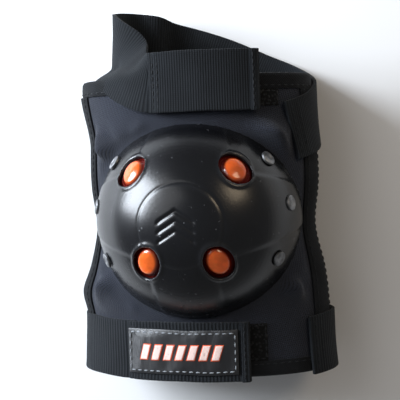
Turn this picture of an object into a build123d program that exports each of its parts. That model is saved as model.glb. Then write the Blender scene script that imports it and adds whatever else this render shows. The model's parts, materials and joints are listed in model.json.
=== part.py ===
from build123d import *
from math import cos, degrees, radians, sin
import os

# Elbow pad, lying on its back with the hard cap up. X runs across the arm, +Y towards the upper arm,
# +Z out of the cap. It is a fabric sleeve with a foam cup in front, a riveted hard cap with four
# cushioning inserts that show through its holes, and two elastic straps. Each strap is sewn on at the
# right side seam, passes behind the sleeve, comes round the left side and closes on the front with a
# hook tab. Each strap has two hinge lines: one at the left side, one where the hook tab is sewn on.
# While modelling, the cap's axis is x = 0, y = 0, and the floor is z = 0. Lengths are in millimetres.

# Sleeve: a tapered tube of elliptic section with a flat back.
sleeve_half_width = 59.2        # at the cap's axis
sleeve_taper = 0.0532           # half width lost per millimetre towards the upper arm
sleeve_half_depth = 34.0
sleeve_axis_above_back = 24.8   # height of the widest section above the flat back
sleeve_upper_end = 70.0
sleeve_lower_end = -76.0
panel_thickness = 1.5           # woven front panel
mesh_thickness = 1.2            # stretch mesh back
foam_thickness = 6.0
foam_end_margin = 8.0           # the foam stops this far from the sleeve's ends
foam_side_margin = 3.0          # and this far above the side seams
lining_thickness = 1.0
seam_binding_thickness = 0.7
seam_binding_width = 12.0
hem_thickness = 0.9
hem_depth = 7.0

# Hard cap: part of a sphere, with a rim that follows the sleeve.
cap_radius = 52.5
cap_centre_above_seam = 12.0    # height of the sphere's centre above the sleeve's side seams
cap_thickness = 2.4
cap_skirt = 10.0

# Holes in the cap: compass angle from +X and tilt from the cap's axis in degrees, then half length,
# half width and turn in the cap's surface.
cap_holes = {
    "gel_insert_upper_left": (134.3, 43.8, 8.6, 7.4, 20.0),
    "gel_insert_upper_right": (45.7, 43.8, 8.6, 7.4, -20.0),
    "gel_insert_lower_left": (225.0, 28.1, 8.8, 7.0, 65.0),
    "gel_insert_lower_right": (315.0, 28.1, 8.8, 7.0, -65.0),
}
insert_clearance = 0.9          # between an insert and the edge of its hole
insert_flange_width = 2.5       # the flange reaches this far past the hole
insert_flange_thickness = 1.0
insert_setback = 0.7            # an insert's face lies this far under the cap's outer face

# Rivets: three on each side of the cap, by compass angle and by distance up from the cap's rim.
rivet_angles = [38.0, 9.5, -23.0]
rivet_rim_distances = [8.9, 15.6, 17.2]
rivet_head_radius = 3.7
rivet_head_height = 1.2
rivet_head_sunk = 0.5
rivet_shank_radius = 1.4
rivet_clinch_radius = 2.3
washer_radius = 4.0
washer_thickness = 0.8

# Straps and hook tabs.
strap_width = 29.0
strap_thickness = 1.8
tab_thickness = 1.6
hook_thickness = 1.0
loop_thickness = 1.1
tab_pull_width = 4.0            # turned-over strip at a tab's free end
tab_pull_thickness = 1.0
tab_edge_margin = 1.5           # from a tab's edge to what is sewn on it
strap_hinge_height_above_seam = 2.0
strap_base_above_seam = 10.0    # a strap's sewn end reaches this far above the right side seam
upper_strap_to_cap = 5.5        # from the cap's rim to the edge of the upper tab
upper_tab_start = -19.0
upper_tab_end = 35.0
lower_strap_to_cap = 1.3
lower_tab_start = -35.0
lower_tab_end = 27.0
loop_patch_overhang = 8.0       # a loop patch reaches this far past the tab's free end
label_margin = 3.5              # from the tab's long edges to the label's
label_to_pull = 1.5
label_thickness = 0.9
stripe_margin = 7.0             # from the label's ends to the row of stripes
stripe_width = 3.6
stripe_height = 7.0
stripe_lean = 2.2
stripe_pitch = 6.0
stripe_thickness = 0.4

sewn_gap = 0.1                  # between layers that are sewn or glued together
moving_gap = 0.4                # between layers that part
end_gap = 0.3                   # between two lengths of one strap, at a hinge line
curve_gap = 0.3                 # under a flat washer on a curved layer
reach = 150.0                   # larger than the pad, for cutting shapes

# Layers, as insets from the sleeve's outer face. A negative inset lies outside the sleeve.
foam_inset = panel_thickness + sewn_gap
lining_inset = foam_inset + foam_thickness + sewn_gap
hem_outset = sewn_gap + hem_thickness
strap_outset = hem_outset + moving_gap
strap_outer = strap_outset + strap_thickness
loop_outer = sewn_gap + loop_thickness
hook_outset = max(loop_outer, hem_outset) + moving_gap
hook_outer = hook_outset + hook_thickness
tab_outset = hook_outer + sewn_gap
tab_outer = tab_outset + tab_thickness
label_outset = tab_outer + sewn_gap
label_outer = label_outset + label_thickness
stripe_outset = label_outer + sewn_gap
pull_outer = label_outset + tab_pull_thickness

back_height = strap_outer                            # the sleeve lies on its straps
seam_height = back_height + sleeve_axis_above_back
cap_centre_height = seam_height + cap_centre_above_seam
flange_inset = cap_thickness + sewn_gap
dome_panel_inset = flange_inset + insert_flange_thickness + sewn_gap
dome_foam_inset = dome_panel_inset + foam_inset
dome_lining_inset = dome_panel_inset + lining_inset
strap_hinge_height = seam_height + strap_hinge_height_above_seam


# Routes of the upper strap in plan. A point holds a share of the sleeve's half width, and a distance
# in y from the middle of the upper tab. Both routes cross at the left hinge line.
upper_strap_back_route = [
    (1.22, -27.2),
    (1.05, -21.7),
    (0.36, 0.3),
    (-0.42, 13.3),
    (-0.96, 13.8),
    (-1.22, 11.3),
]
upper_strap_front_route = [
    (-1.22, 16.3),
    (-0.96, 13.8),
    (-0.64, 6.3),
    (-0.29, 0.0),
    (-0.14, -0.9),
]


def half_width(y):
    """Half width of the sleeve at y."""
    return sleeve_half_width - sleeve_taper * y


def sleeve_height(x, y, outset):
    """Height of the sleeve's front at x, y, on a layer that lies outset outside it."""
    share = x / (half_width(y) + outset)
    return seam_height + (sleeve_half_depth + outset) * (1 - share**2) ** 0.5


def slab(x0, x1, y0, y1, z0, z1):
    """A box between two corners, for cutting."""
    return Pos((x0 + x1) / 2, (y0 + y1) / 2, (z0 + z1) / 2) * Box(x1 - x0, y1 - y0, z1 - z0)


def tube(inset, y0, y1):
    """The sleeve's solid form at an inset, with its flat back, between two stations."""
    ends = [
        Pos(0, y, seam_height)
        * Rot(X=90)
        * Ellipse(half_width(y) - inset, sleeve_half_depth - inset)
        for y in (y0, y1)
    ]
    return loft(ends, ruled=True) & slab(-reach, reach, y0, y1, back_height + inset, reach)


def wall(outer_inset, inner_inset, y0, y1):
    """The layer of the sleeve between two insets."""
    return tube(outer_inset, y0, y1) - tube(inner_inset, y0, y1)


def dome(inset):
    """The cap's solid form at an inset: half a sphere on a short straight skirt."""
    radius = cap_radius - inset
    base = cap_centre_height - cap_skirt
    with BuildSketch(Plane.XZ) as half:
        with BuildLine():
            CenterArc((0, cap_centre_height), radius, 0, 90)
            Polyline((0, cap_centre_height + radius), (0, base), (radius, base))
            Line((radius, base), (radius, cap_centre_height))
        make_face()
    return revolve(half.sketch, Axis.Z)


def cap_direction(compass, tilt):
    """The direction from the cap's centre to a place on its face."""
    level = sin(radians(tilt))
    return Vector(level * cos(radians(compass)), level * sin(radians(compass)), cos(radians(tilt)))


def cap_plane(compass, tilt):
    """A plane on the cap's outer face, with its normal pointing out of the cap."""
    normal = cap_direction(compass, tilt)
    across = (Vector(1, 0, 0) - normal * normal.X).normalized()
    centre = Vector(0, 0, cap_centre_height)
    return Plane(origin=centre + normal * cap_radius, x_dir=across, z_dir=normal)


def rim_tilt(compass):
    """The tilt at which the cap's face meets the sleeve, found by halving the range."""
    low, high = 0.0, 90.0
    for _ in range(40):
        middle_tilt = (low + high) / 2
        point = cap_direction(compass, middle_tilt) * cap_radius
        above = point.Z + cap_centre_height > sleeve_height(point.X, point.Y, sewn_gap)
        low, high = (middle_tilt, high) if above else (low, middle_tilt)
    return low


def cap_hole(place, growth):
    """A prism through the cap at one of its holes, with its outline grown all round."""
    compass, tilt, half_length, half_breadth, turn = place
    outline = Rot(Z=turn) * Ellipse(half_length + growth, half_breadth + growth)
    depth = cap_radius / 3
    return Location(cap_plane(compass, tilt)) * Pos(0, 0, -depth) * extrude(outline, amount=2 * depth)


def disc(place, radius, low, high):
    """A cylinder on the cap's normal, between two heights over the cap's outer face."""
    return Location(cap_plane(*place)) * Pos(0, 0, (low + high) / 2) * Cylinder(radius, high - low)


def strip(route):
    """A tall band, as wide as a strap, that stands over a curved route in plan."""
    return extrude(trace(Spline(*route), strap_width), amount=reach)


def upper_route(shares):
    """The points in plan of a route of the upper strap."""
    return [(share * sleeve_half_width, upper_strap_y + shift) for share, shift in shares]


def sewn_outline(start, end, y, half_height):
    """A rectangle in plan as a tall block over the front of the sleeve."""
    return slab(start, end, y - half_height, y + half_height, seam_height, reach)


# Places that follow from the cap's rim.
rivet_places = []
for angle, distance in zip(rivet_angles, rivet_rim_distances):
    for compass in (180 - angle, angle):
        rivet_places.append((compass, rim_tilt(compass) - degrees(distance / cap_radius)))
cap_upper_reach = cap_radius * sin(radians(rim_tilt(90)))
cap_lower_reach = cap_radius * sin(radians(rim_tilt(-90)))
upper_strap_y = cap_upper_reach + upper_strap_to_cap + strap_width / 2
lower_strap_y = -cap_lower_reach - lower_strap_to_cap - strap_width / 2

parts = {}

# Hard cap, with its holes and flat seats for the rivet heads.
sleeve_form = tube(-sewn_gap, -cap_radius - 1, cap_radius + 1)
cap = dome(0) - dome(cap_thickness) - sleeve_form
for place in cap_holes.values():
    cap -= cap_hole(place, 0)
for place in rivet_places:
    cap -= disc(place, rivet_head_radius + sewn_gap, -rivet_head_sunk, rivet_head_height + 2)
    cap -= disc(place, rivet_shank_radius + sewn_gap, -cap_thickness - 2, 0)
parts["shell_cap"] = cap

# Inserts: a plug that fills each hole, on a flange held under the cap that a rivet may pass through.
flange_layer = dome(flange_inset) - dome(flange_inset + insert_flange_thickness)
plug_layer = dome(insert_setback) - dome(flange_inset + insert_flange_thickness)
for name, place in cap_holes.items():
    plug = plug_layer & cap_hole(place, -insert_clearance)
    flange = flange_layer & cap_hole(place, insert_flange_width)
    for rivet_place in rivet_places:
        flange -= disc(rivet_place, rivet_shank_radius + sewn_gap, -cap_radius / 3, 0)
    parts[name] = plug + flange


def front_layer(inset, dome_inset, thickness, end_margin, side_margin):
    """A layer of the sleeve's front that bulges into the cap."""
    low = sleeve_lower_end + end_margin
    high = sleeve_upper_end - end_margin
    outer = tube(inset, low, high) + dome(dome_inset)
    inner = tube(inset + thickness, low, high) + dome(dome_inset + thickness)
    front = slab(-reach, reach, low, high, seam_height + side_margin, reach)
    return (outer - inner) & front


# Front panel, foam cup and lining: the same form at three depths.
panel = front_layer(0, dome_panel_inset, panel_thickness, 0, 0)
foam = front_layer(foam_inset, dome_foam_inset, foam_thickness, foam_end_margin, foam_side_margin)
washer_top = -dome_panel_inset - panel_thickness - curve_gap
washer_low = washer_top - washer_thickness
clinch_low = washer_low - sewn_gap - washer_thickness
rivets = []
washers = []
for place in rivet_places:
    hole = disc(place, rivet_shank_radius + sewn_gap, -cap_radius / 3, 0)
    panel -= hole
    foam -= disc(place, washer_radius + sewn_gap, clinch_low - sewn_gap, -dome_panel_inset)
    head = disc(place, rivet_head_radius, -rivet_head_sunk, rivet_head_height - rivet_head_sunk)
    shank = disc(place, rivet_shank_radius, clinch_low, -rivet_head_sunk)
    clinch = disc(place, rivet_clinch_radius, clinch_low, washer_low - sewn_gap)
    rivets.append(head + shank + clinch)
    washers.append(disc(place, washer_radius, washer_low, washer_top) - hole)
parts["front_panel"] = panel
parts["foam_cup"] = foam
parts["lining"] = front_layer(
    lining_inset, dome_lining_inset, lining_thickness, foam_end_margin, foam_side_margin
)
parts["shell_rivets"] = Compound(rivets)
parts["rivet_washers"] = Compound(washers)

# Back of the sleeve, side seam bindings and the hems round both ends.
below_seam = slab(-reach, reach, -reach, reach, -1, seam_height - sewn_gap)
parts["back_panel"] = wall(0, mesh_thickness, sleeve_lower_end, sleeve_upper_end) & below_seam
binding_layer = wall(
    -sewn_gap - seam_binding_thickness,
    -sewn_gap,
    sleeve_lower_end + hem_depth + sewn_gap,
    sleeve_upper_end - hem_depth - sewn_gap,
)
binding_low = seam_height - seam_binding_width / 2
binding_high = seam_height + seam_binding_width / 2
parts["left_side_binding"] = binding_layer & slab(-reach, 0, -reach, reach, binding_low, binding_high)
parts["right_side_binding"] = binding_layer & slab(0, reach, -reach, reach, binding_low, binding_high)


def hem(end, inward):
    """A folded tape round one end of the sleeve. inward is the direction from that end into it."""
    rim = end - inward * hem_thickness
    inner_edge = end + inward * hem_depth
    low, high = sorted((rim, inner_edge))
    inner_face = panel_thickness + sewn_gap + hem_thickness
    ring = wall(-hem_outset, inner_face, low, high)
    low, high = sorted((end - inward * sewn_gap, inner_edge + inward))
    return ring - wall(-sewn_gap, panel_thickness + sewn_gap, low, high)


parts["upper_hem"] = hem(sleeve_upper_end, -1)
parts["lower_hem"] = hem(sleeve_lower_end, 1)

# Straps. Each is one layer round the sleeve, cut at its hinge line and at its tab's seam.
strap_stations = (sleeve_lower_end - strap_width, sleeve_upper_end + 2 * strap_width)
strap_layer = wall(-strap_outer, -strap_outset, *strap_stations)
sewn_end_height = seam_height + strap_base_above_seam
behind_left = slab(-reach, 0, -reach, reach, -1, strap_hinge_height - end_gap)
behind_right = slab(0, reach, -reach, reach, -1, sewn_end_height)
behind = behind_left + behind_right
in_front = slab(-reach, reach, -reach, reach, strap_hinge_height, reach)
lower_route = [(-reach, lower_strap_y), (0, lower_strap_y), (reach, lower_strap_y)]


def strap_back(route):
    """The length of a strap from its sewn end behind the sleeve to the left hinge line."""
    return strap_layer & strip(route) & behind


def strap_front(route, tab_start):
    """The length of a strap from the left hinge line to the seam of its tab."""
    before_tab = slab(-reach, tab_start - end_gap, -reach, reach, 0, reach)
    return strap_layer & strip(route) & in_front & before_tab


def tab_layers(name, y, start, end):
    """A hook tab with its hooks, its turned-over end, and the loop patch that it closes on."""
    stations = (y - strap_width, y + strap_width)
    half = strap_width / 2
    edge = half - tab_edge_margin
    tab_wall = wall(-tab_outer, -tab_outset, *stations)
    parts[f"{name}_tab"] = tab_wall & sewn_outline(start, end, y, half)
    hook_wall = wall(-hook_outer, -hook_outset, *stations)
    hook_start = start + tab_pull_width
    hook_end = end - tab_pull_width
    parts[f"{name}_tab_hooks"] = hook_wall & sewn_outline(hook_start, hook_end, y, edge)
    pull_wall = wall(-pull_outer, -label_outset, *stations)
    pull_end = end - tab_edge_margin / 3
    pull_start = end - tab_pull_width
    parts[f"{name}_tab_pull"] = pull_wall & sewn_outline(pull_start, pull_end, y, half)
    loop_low = max(y - edge, sleeve_lower_end + hem_depth + sewn_gap)
    loop_high = min(y + edge, sleeve_upper_end - hem_depth - sewn_gap)
    loop_wall = wall(-loop_outer, -sewn_gap, *stations)
    loop_end = end + loop_patch_overhang
    patch = slab(start, loop_end, loop_low, loop_high, seam_height, reach)
    parts[f"{name}_loop_patch"] = loop_wall & patch


parts["upper_strap_back"] = strap_back(upper_route(upper_strap_back_route))
parts["upper_strap_front"] = strap_front(upper_route(upper_strap_front_route), upper_tab_start)
parts["lower_strap_back"] = strap_back(lower_route)
parts["lower_strap_front"] = strap_front(lower_route, lower_tab_start)
tab_layers("upper", upper_strap_y, upper_tab_start, upper_tab_end)
tab_layers("lower", lower_strap_y, lower_tab_start, lower_tab_end)

# Woven label on the lower tab, with a row of leaning stripes on it.
label_start = lower_tab_start + tab_edge_margin / 3
label_end = lower_tab_end - tab_pull_width - label_to_pull
label_stations = (lower_strap_y - strap_width, lower_strap_y + strap_width)
label_wall = wall(-label_outer, -label_outset, *label_stations)
label_half_height = strap_width / 2 - label_margin
label_outline = sewn_outline(label_start, label_end, lower_strap_y, label_half_height)
parts["label_patch"] = label_wall & label_outline
stripe_wall = wall(-stripe_outset - stripe_thickness, -stripe_outset, *label_stations)
stripe_count = int((label_end - label_start - 2 * stripe_margin) / stripe_pitch)
stripes = []
for number in range(stripe_count):
    centre = (label_start + label_end) / 2 + (number - (stripe_count - 1) / 2) * stripe_pitch
    low = lower_strap_y - stripe_height / 2
    left = centre - stripe_width / 2
    right = centre + stripe_width / 2
    corners = [
        (left, low),
        (right, low),
        (right + stripe_lean, low + stripe_height),
        (left + stripe_lean, low + stripe_height),
    ]
    block = Pos(0, 0, seam_height) * extrude(make_face(Polyline(*corners, close=True)), amount=reach)
    stripes.append((stripe_wall & block).solid())
parts["label_stripes"] = Compound(stripes)

# The frame's origin is on the floor, under the middle of the whole pad.
bounds = Compound([Compound(part.solids()) for part in parts.values()]).bounding_box()
middle = bounds.center()
to_frame = Pos(-middle.X, -middle.Y, -bounds.min.Z)

os.makedirs("parts", exist_ok=True)
for name, part in parts.items():
    solids = part.solids()
    whole = to_frame * (solids[0] if len(solids) == 1 else Compound(solids))
    export_step(whole, f"parts/{name}.step")
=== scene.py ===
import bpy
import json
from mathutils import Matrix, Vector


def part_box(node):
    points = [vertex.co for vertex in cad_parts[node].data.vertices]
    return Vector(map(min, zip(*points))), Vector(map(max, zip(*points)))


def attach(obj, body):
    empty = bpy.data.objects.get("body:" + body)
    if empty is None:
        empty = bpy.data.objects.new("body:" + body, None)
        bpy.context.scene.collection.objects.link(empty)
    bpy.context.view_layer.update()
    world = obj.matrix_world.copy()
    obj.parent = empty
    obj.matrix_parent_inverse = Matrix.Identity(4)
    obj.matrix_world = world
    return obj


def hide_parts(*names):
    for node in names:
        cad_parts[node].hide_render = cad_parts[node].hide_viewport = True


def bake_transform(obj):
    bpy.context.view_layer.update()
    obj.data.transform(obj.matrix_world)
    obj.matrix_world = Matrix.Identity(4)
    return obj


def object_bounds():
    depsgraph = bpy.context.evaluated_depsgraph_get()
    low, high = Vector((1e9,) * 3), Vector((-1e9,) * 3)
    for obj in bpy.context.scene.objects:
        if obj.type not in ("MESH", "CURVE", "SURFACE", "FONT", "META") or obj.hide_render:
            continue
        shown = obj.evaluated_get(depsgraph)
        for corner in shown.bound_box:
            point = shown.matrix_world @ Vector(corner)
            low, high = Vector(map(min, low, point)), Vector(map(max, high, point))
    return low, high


bl_info = {
    "name": "Elbow Pad",
    "version": (1, 0, 0),
    "blender": (4, 5, 0),
    "location": "View3D > Sidebar > Elbow Pad",
    "description": "Builds the cap, cloth, elastic straps and stitching of an elbow pad",
    "category": "Object",
}

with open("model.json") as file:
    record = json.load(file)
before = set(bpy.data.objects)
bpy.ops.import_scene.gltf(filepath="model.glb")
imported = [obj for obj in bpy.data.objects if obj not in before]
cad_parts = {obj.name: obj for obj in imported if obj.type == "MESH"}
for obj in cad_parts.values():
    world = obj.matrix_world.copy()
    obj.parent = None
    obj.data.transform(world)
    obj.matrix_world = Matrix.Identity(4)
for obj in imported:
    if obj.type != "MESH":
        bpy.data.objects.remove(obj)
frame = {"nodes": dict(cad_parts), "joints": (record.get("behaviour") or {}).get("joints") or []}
cad_low, cad_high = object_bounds()

import json
import math
from bisect import bisect_right

import bpy
from bpy.props import FloatProperty, FloatVectorProperty, PointerProperty
from mathutils import Matrix, Vector, noise

MM = 0.001

# Places read from the frame.


def node_points(name):
    """The corners of a CAD node's mesh."""
    return [vertex.co.copy() for vertex in frame["nodes"][name].data.vertices]


FRONT_LOW, FRONT_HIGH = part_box("front_panel")
CAP_LOW, CAP_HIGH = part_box("shell_cap")
UPPER_HEM_LOW, UPPER_HEM_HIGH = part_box("upper_hem")
SEAM = FRONT_LOW.z
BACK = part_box("back_panel")[0].z
HEM_OUT = 1.0 * MM
SLEEVE_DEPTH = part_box("lower_hem")[1].z - SEAM - HEM_OUT
LOWER_END, UPPER_END = FRONT_LOW.y, FRONT_HIGH.y
LOWER_HALF_WIDTH = FRONT_HIGH.x
UPPER_HALF_WIDTH = UPPER_HEM_HIGH.x - HEM_OUT
TAPER = (LOWER_HALF_WIDTH - UPPER_HALF_WIDTH) / (UPPER_HEM_LOW.y - LOWER_END)
CAP_Y = (CAP_LOW.y + CAP_HIGH.y) / 2
SIDE = max(node_points("shell_cap"), key=lambda point: point.x)
SIDE_DROP = CAP_HIGH.z - SIDE.z
CAP_RADIUS = (SIDE.x**2 + (SIDE.y - CAP_Y) ** 2 + SIDE_DROP**2) / (2 * SIDE_DROP)
CAP_CENTRE = Vector((0, CAP_Y, CAP_HIGH.z - CAP_RADIUS))
UPPER_TAB_LOW, UPPER_TAB_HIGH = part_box("upper_tab")
LOWER_TAB_LOW, LOWER_TAB_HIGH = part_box("lower_tab")
UPPER_Y = (UPPER_TAB_LOW.y + UPPER_TAB_HIGH.y) / 2
LOWER_Y = (LOWER_TAB_LOW.y + LOWER_TAB_HIGH.y) / 2
STRAP_WIDTH = UPPER_TAB_HIGH.y - UPPER_TAB_LOW.y
JOINTS = {joint["name"]: joint for joint in frame["joints"]}

# Layers of the sleeve, as outsets from its outer face.
STRAP_OUT = 3.2 * MM
STRAP_THICKNESS = 1.8 * MM
TAB_OUT = 4.2 * MM
TAB_THICKNESS = 1.6 * MM
HOOK_OUT = 2.5 * MM
HOOK_THICKNESS = 1.0 * MM
LOOP_OUT = 1.2 * MM
LABEL_OUT = 5.2 * MM
LABEL_THICKNESS = 0.8 * MM
SEWN_LIFT = 0.15 * MM


# Sizes and colours that a user would change.


def length(name, description, default):
    return FloatProperty(name=name, description=description, default=default, unit="LENGTH")


def tint(name, description, default):
    return FloatVectorProperty(name=name, description=description, default=default, size=3, subtype="COLOR")


class PadSizes(bpy.types.PropertyGroup):
    waist: length("Waist", "How far the sleeve's sides draw in beside the elbow", 4.0 * MM)
    relief: length("Cap relief", "How far the cap's corners are set back from its raised cross", 0.55 * MM)
    crown: length("Insert crown", "How far the inserts bulge in the middle", 0.9 * MM)
    stitch: length("Stitch length", "Length of one stitch", 2.3 * MM)
    stitch_gap: length("Stitch gap", "Space between two stitches", 0.9 * MM)
    weave_pitch: length("Weave pitch", "Distance between the holes of the front cloth", 1.5 * MM)
    camera_tilt: FloatProperty(
        name="Camera tilt",
        description="Lean of the camera from straight above, towards +X",
        default=math.radians(11.5), subtype="ANGLE",
    )


class PadColours(bpy.types.PropertyGroup):
    shell: tint("Cap", "Moulded plastic", (0.0042, 0.0045, 0.0056))
    gel: tint("Inserts", "Soft translucent inserts", (0.72, 0.115, 0.012))
    cloth: tint("Cloth", "Front cloth", (0.0095, 0.0108, 0.0155))
    elastic: tint("Elastic", "Ribbed elastic webbing", (0.0085, 0.0098, 0.0115))
    print: tint("Label print", "Bars on the label", (0.88, 0.66, 0.60))


# The sleeve's form. An angle is measured from the top of a section, in degrees, positive towards +X.


def half_width(y):
    """Half width of the sleeve at y, with the sides drawn in beside the elbow."""
    sizes = bpy.context.scene.pad_sizes
    waist_y = CAP_Y - 5 * MM
    drawn = sizes.waist * math.exp(-(((y - waist_y) / (17 * MM)) ** 2))
    return LOWER_HALF_WIDTH - TAPER * (y - LOWER_END) - drawn


def section(angle, y, out=0.0, cup=0.0, flare=0.0):
    """A point on the sleeve, out from its outer face. cup is the radius of a bulge under the cap."""
    side, up = math.sin(math.radians(angle)), math.cos(math.radians(angle))
    wide = half_width(y) + flare * bell(side, -1.0, 0.45)
    reach = 1 / math.hypot(side / (wide + out), up / (SLEEVE_DEPTH + out))
    if up < -0.02:
        flat = (SEAM - BACK + out) / -up
        reach = (reach**-16 + flat**-16) ** (-1 / 16)
    off = y - CAP_Y
    if cup and abs(off) < cup:
        height = CAP_CENTRE.z - SEAM
        inside = cup**2 - off**2 - (height * side) ** 2
        if inside > 0:
            bulge = height * up + math.sqrt(inside)
            reach = (reach**24 + max(bulge, MM) ** 24) ** (1 / 24)
    return Vector((reach * side, y, SEAM + reach * up))


def cloth_section(angle, y, out=0.0, cup=0.0):
    """A point on the sleeve's cloth, which stands off the straps at its left corners."""
    flare = 6 * MM * ease(26 * MM, 58 * MM, y) + 3.5 * MM * bell(y, LOWER_END + 38 * MM, 9 * MM)
    return section(angle, y, out, cup, flare)


def angle_at(x, y, out):
    """The angle at which a layer of the sleeve's front passes x."""
    wide = half_width(y) + out
    share = max(-1, min(1, x / wide))
    return math.degrees(math.atan2(x, (SLEEVE_DEPTH + out) * math.sqrt(1 - share**2)))


def ease(low, high, value):
    """0 below low, 1 above high, smooth between."""
    share = max(0.0, min(1.0, (value - low) / (high - low)))
    return share * share * (3 - 2 * share)


def bell(value, middle, spread):
    return math.exp(-(((value - middle) / spread) ** 2))


def running(points):
    """The distance along a row of points, at each of them."""
    lengths = [0.0]
    for first, second in zip(points, points[1:]):
        lengths.append(lengths[-1] + (second - first).length)
    return lengths


class Wrap:
    """Turns distance along a section of the sleeve into an angle, and back."""

    def __init__(self, y, out):
        self.angles = [2 * step - 180 for step in range(361)]
        self.lengths = running([section(angle, y, out) for angle in self.angles])

    def _read(self, keys, values, key):
        place = min(max(bisect_right(keys, key) - 1, 0), len(keys) - 2)
        share = (key - keys[place]) / (keys[place + 1] - keys[place])
        return values[place] + share * (values[place + 1] - values[place])

    def length(self, angle):
        return self._read(self.angles, self.lengths, angle)

    def angle(self, length):
        return self._read(self.lengths, self.angles, length)


class Band:
    """A strip of even width that lies on a layer of the sleeve, along points of (angle, y)."""

    def __init__(self, route, out, width):
        self.out, self.width = out, width
        middle = sum(y for _, y in route) / len(route)
        self.wrap = Wrap(middle, out)
        knots = [Vector((self.wrap.length(angle), y)) for angle, y in route]
        self.line = [knots[0]]
        ends = [2 * knots[0] - knots[1]] + knots + [2 * knots[-1] - knots[-2]]
        for before, first, second, after in zip(ends, ends[1:], ends[2:], ends[3:]):
            for step in range(1, 17):
                t = step / 16
                self.line.append(
                    0.5 * (2 * first + (second - before) * t
                           + (2 * before - 5 * first + 4 * second - after) * t**2
                           + (3 * first - before - 3 * second + after) * t**3)
                )
        self.marks = running(self.line)
        self.length = self.marks[-1]

    def share(self, angle):
        """The share along at which the strip reaches an angle."""
        mark = self.wrap.length(angle)
        passed = [self.marks[step] for step, spot in enumerate(self.line) if spot.x <= mark]
        return passed[-1] / self.length

    def place(self, along, across, lift=0.0):
        """The point at a share along and a share across the strip."""
        mark = min(max(along, 0.0), 1.0) * self.length
        index = min(max(bisect_right(self.marks, mark) - 1, 0), len(self.line) - 2)
        step = self.line[index + 1] - self.line[index]
        share = (mark - self.marks[index]) / step.length
        normal = Vector((-step.y, step.x)).normalized()
        wander = 0.45 * MM * noise.noise(Vector((mark / (17 * MM), across * 1.5, self.width / MM)))
        spot = self.line[index] + step * share + normal * ((across - 0.5) * self.width + wander)
        return section(self.wrap.angle(spot.x), spot.y, self.out + lift)


# Modelling.


def clear_selection():
    if bpy.context.object and bpy.context.object.mode != "OBJECT":
        bpy.ops.object.mode_set(mode="OBJECT")
    bpy.ops.object.select_all(action="DESELECT")


def choose(piece):
    """Makes a piece the only selected one."""
    clear_selection()
    piece.select_set(True)
    bpy.context.view_layer.objects.active = piece


def named(name):
    """Names the object that was just made."""
    piece = bpy.context.object
    piece.name = name
    piece.data.name = name
    return piece


def modify(piece, kind, **settings):
    """Adds a modifier and applies it."""
    choose(piece)
    modifier = piece.modifiers.new(kind.title(), kind)
    for key, value in settings.items():
        setattr(modifier, key, value)
    bpy.ops.object.modifier_apply(modifier=modifier.name)


def mend(piece, merge=0.0, outwards=True):
    """Joins points closer than merge, and turns the faces outwards."""
    choose(piece)
    bpy.ops.object.mode_set(mode="EDIT")
    bpy.ops.mesh.select_all(action="SELECT")
    if merge:
        bpy.ops.mesh.remove_doubles(threshold=merge)
    if outwards:
        bpy.ops.mesh.normals_make_consistent(inside=False)
    bpy.ops.object.mode_set(mode="OBJECT")


def shade(piece, angle):
    choose(piece)
    bpy.ops.object.shade_smooth_by_angle(angle=math.radians(angle))


def cloth(name, columns, rows, place):
    """A grid laid on a surface, with a UV map in metres. place takes shares along and across."""
    clear_selection()
    bpy.ops.mesh.primitive_grid_add(x_subdivisions=columns, y_subdivisions=rows, size=1)
    piece = named(name)
    mesh = piece.data
    shares = [(v.co.x + 0.5, v.co.y + 0.5) for v in mesh.vertices]
    for vertex, (along, across) in zip(mesh.vertices, shares):
        vertex.co = place(along, across)
    lengths = running([place(step / columns, 0.5) for step in range(columns + 1)])
    widths = running([place(0.5, step / rows) for step in range(rows + 1)])
    map_layer = mesh.uv_layers.active.data
    for loop in mesh.loops:
        along, across = shares[loop.vertex_index]
        map_layer[loop.index].uv = (lengths[round(along * columns)], widths[round(across * rows)])
    return piece


def bevel(piece, width, segments, angle):
    """Softens the edges that turn by more than an angle."""
    limit = math.radians(angle)
    modify(piece, "BEVEL", width=width, segments=segments, limit_method="ANGLE", angle_limit=limit)


def thicken(piece, thickness, soft=0.35 * MM):
    """Gives a sheet a wall inwards, with softened edges."""
    modify(piece, "SOLIDIFY", thickness=thickness, offset=-1)
    if soft:
        bevel(piece, soft, 2, 50)
    shade(piece, 60)
    return piece


def band_piece(name, band, thickness, along_step, across_step, lift=None, soft=0.35 * MM, slide=None):
    """A strip of webbing or tape as a closed piece. lift moves it out, and slide moves it across."""
    columns = max(2, round(band.length / along_step))
    rows = max(2, round(band.width / across_step))

    def place(along, across):
        moved = across + slide(along, across) if slide else across
        return band.place(along, moved, lift(along, across) if lift else 0.0)

    return thicken(cloth(name, columns, rows, place), thickness, soft)


def joined(name, pieces):
    """Joins pieces into one."""
    choose(pieces[0])
    for piece in pieces:
        piece.select_set(True)
    bpy.ops.object.join()
    return named(name)


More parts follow.
